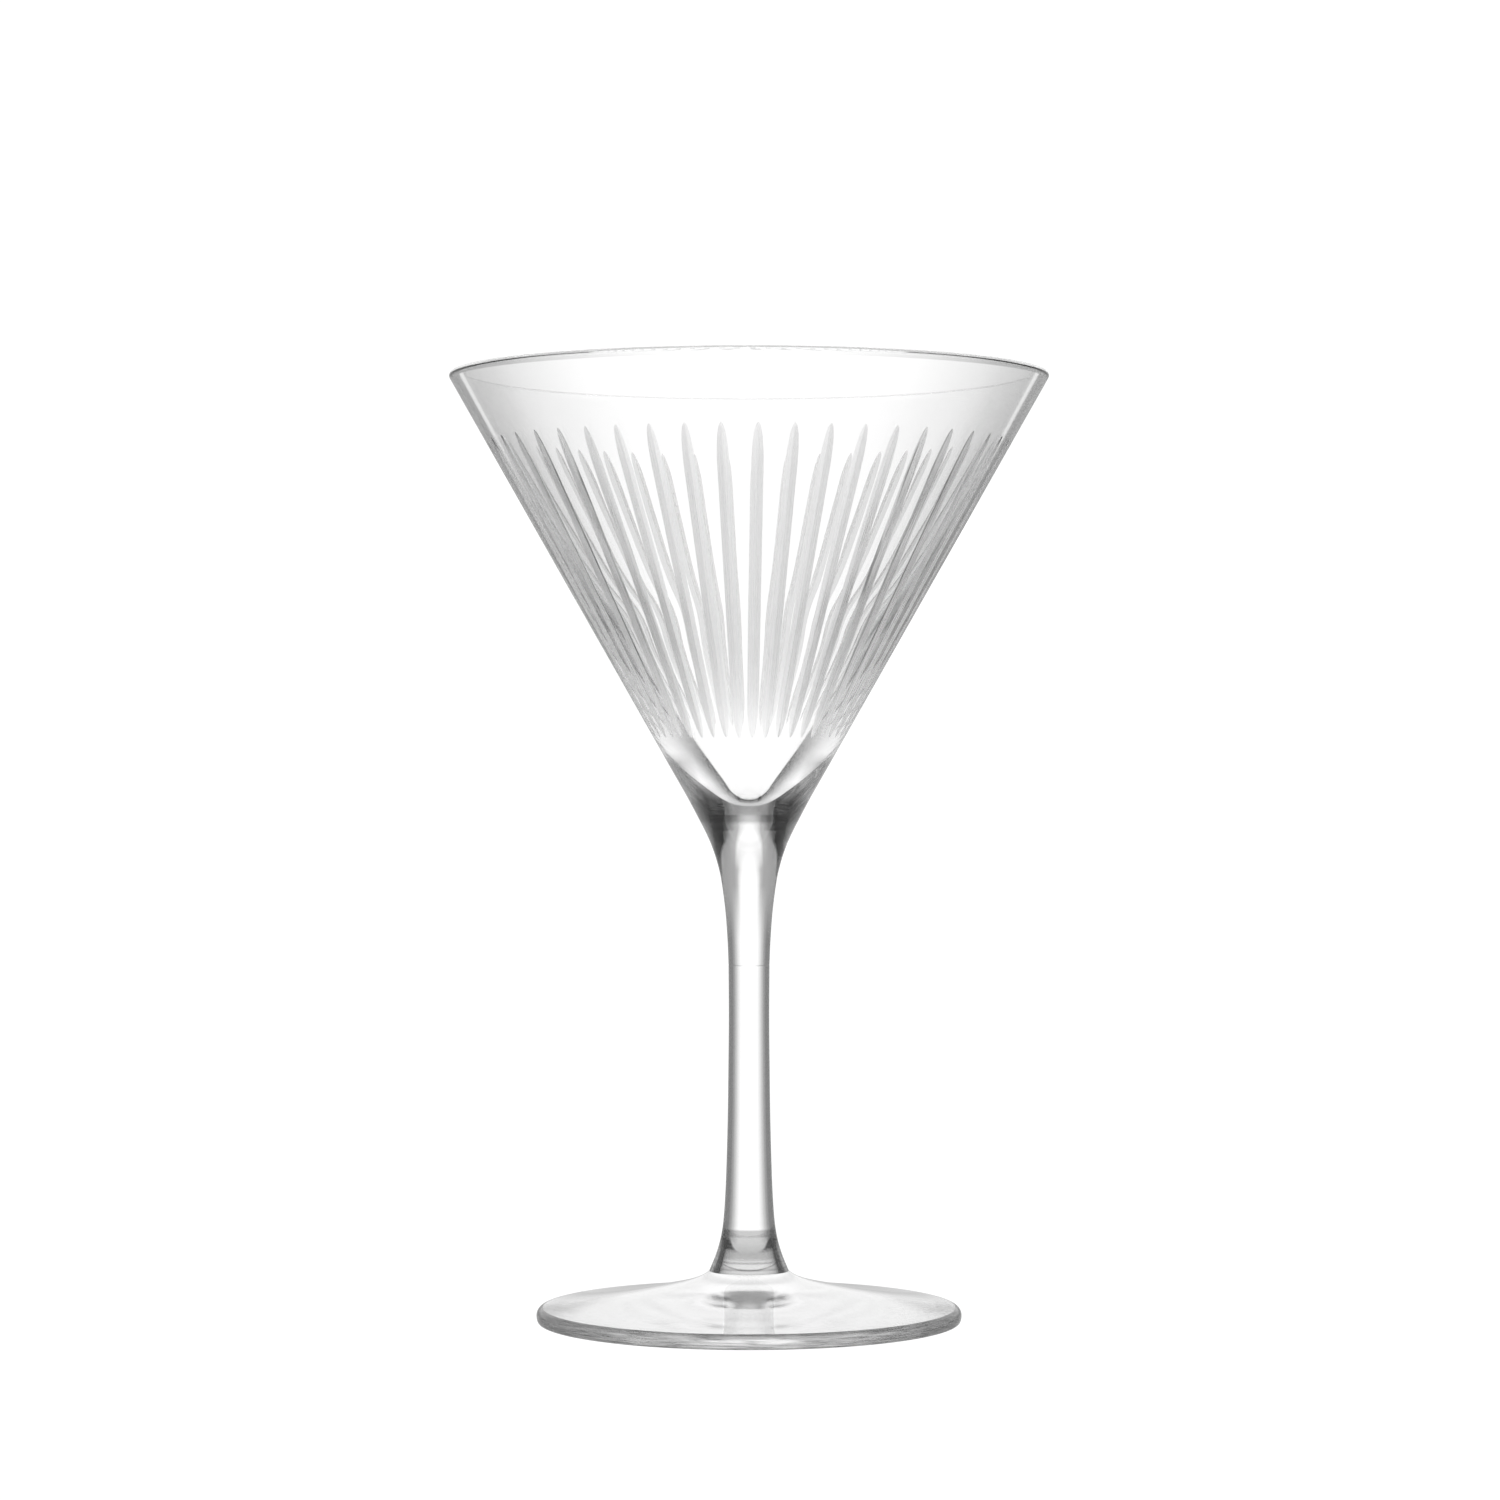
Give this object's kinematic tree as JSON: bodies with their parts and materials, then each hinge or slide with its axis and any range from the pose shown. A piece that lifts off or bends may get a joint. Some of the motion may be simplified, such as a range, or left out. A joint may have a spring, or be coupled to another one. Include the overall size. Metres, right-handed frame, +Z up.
{
  "type": "martini glass",
  "caption": "Clear stemmed martini glass: a wide cone bowl with a ring of long V-shaped cuts, a slender fused stem and a low domed round foot.",
  "frame": {"origin": "centre of the foot's resting ring, on the surface it stands on", "axes": "+Z up along the glass's axis of revolution towards the lip; +X to the right and -Y towards the viewer of the front view"},
  "size_m": [0.11, 0.11, 0.174],
  "materials": {
    "bowl_glass": "clear and polished, with matt satin faces in the cut flutes",
    "stem_glass": "clear, fire-polished",
    "foot_glass": "clear, polished"
  },
  "bodies": {
    "root": {"bowl": "bowl_glass", "upper_stem": "stem_glass", "lower_stem": "stem_glass", "foot": "foot_glass"}
  },
  "joints": []
}
